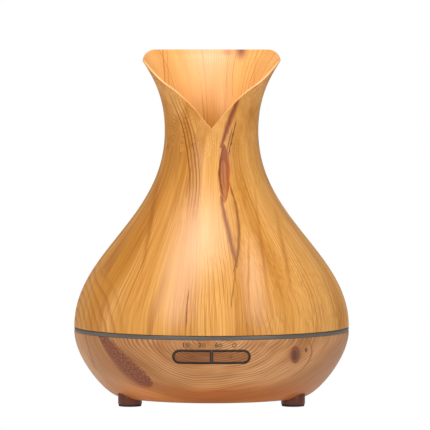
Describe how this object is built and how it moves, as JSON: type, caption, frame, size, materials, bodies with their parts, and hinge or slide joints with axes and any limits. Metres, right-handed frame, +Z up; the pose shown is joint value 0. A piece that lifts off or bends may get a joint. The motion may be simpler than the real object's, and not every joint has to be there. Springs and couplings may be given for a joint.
{
  "type": "essential oil diffuser",
  "caption": "Ultrasonic aroma diffuser: a vase-shaped cover with a V-notched mouth lifts off a round base that holds the water tank, mist disc, fan, lights and push buttons.",
  "frame": {"origin": "under the middle of the three feet, on the table", "axes": "+Z up through the mouth, -Y towards the buttons and the notch, +X to the right as seen from the front"},
  "size_m": [0.168, 0.168, 0.215],
  "materials": {
    "wood_print": "satin wood-grain transfer print on moulded plastic",
    "dark_wood_print": "satin dark wood-grain transfer print on moulded plastic",
    "smoked_plastic": "translucent smoked light ring",
    "milky_plastic": "translucent natural plastic",
    "ivory_plastic": "moulded",
    "charcoal_plastic": "moulded, fine texture",
    "black_rubber": "matte",
    "silicone": "matte",
    "piezo_ceramic": "silvered ceramic",
    "steel": "plain",
    "brass": "plain",
    "winding_copper": "enamelled windings on laminations",
    "magnet": "bonded ferrite",
    "circuit_board": "solder mask",
    "black_moulding": "moulded",
    "capacitor_sleeve": "shrink sleeve",
    "aluminium": "extruded",
    "led_package": "moulded lens",
    "wire_insulation": "coloured insulation"
  },
  "bodies": {
    "base": {"lower_housing": "wood_print", "light_ring": "smoked_plastic", "water_tank": "ivory_plastic", "tank_seal": "silicone", "air_outlet_cap": "milky_plastic", "transducer_disc": "piezo_ceramic", "transducer_seal": "black_rubber", "transducer_clamp": "steel", "transducer_screws": "steel", "fan_frame": "charcoal_plastic", "fan_bearing": "brass", "fan_stator": "winding_copper", "fan_duct": "charcoal_plastic", "fan_screws": "steel", "main_board": "circuit_board", "power_inductor": "black_moulding", "filter_capacitors": "capacitor_sleeve", "driver_transistor": "black_moulding", "heatsink": "aluminium", "controller_chips": "black_moulding", "board_connectors": "ivory_plastic", "main_board_screws": "steel", "led_board": "circuit_board", "colour_leds": "led_package", "led_board_screws": "steel", "button_bezel": "charcoal_plastic", "button_board": "circuit_board", "tact_switches": "black_moulding", "indicator_leds": "led_package", "button_board_screws": "steel", "dc_jack": "black_moulding", "dc_pin": "steel", "dc_contacts": "brass", "bottom_cover": "dark_wood_print", "bottom_screws": "steel", "foot_pads": "black_rubber", "fan_wires": "wire_insulation", "transducer_wires": "wire_insulation", "jack_wires": "wire_insulation", "led_wires": "wire_insulation", "button_wires": "wire_insulation"},
    "cover": {"vase_cover": "wood_print", "mist_guide": "milky_plastic", "mist_guide_screws": "steel"},
    "light_button": {"light_button": "dark_wood_print", "light_switch_stem": "black_moulding"},
    "mist_button": {"mist_button": "dark_wood_print", "mist_switch_stem": "black_moulding"},
    "fan_rotor": {"fan_rotor": "charcoal_plastic", "fan_magnet": "magnet", "fan_shaft": "steel"}
  },
  "joints": [
    {"name": "cover_lift", "type": "slide", "parent": "base", "child": "cover", "axis": [0, 0, 1], "range_m": [0, 0.12]},
    {"name": "light_button_press", "type": "slide", "parent": "base", "child": "light_button", "axis": [0, 1, 0], "range_m": [0, 0.0005], "stiffness_N_per_m": 600},
    {"name": "mist_button_press", "type": "slide", "parent": "base", "child": "mist_button", "axis": [0, 1, 0], "range_m": [0, 0.0005], "stiffness_N_per_m": 600},
    {"name": "fan_spin", "type": "hinge", "parent": "base", "child": "fan_rotor", "pos_m": [-0.036, 0.004, 0.0144], "axis": [0, 0, 1], "continuous": true}
  ]
}
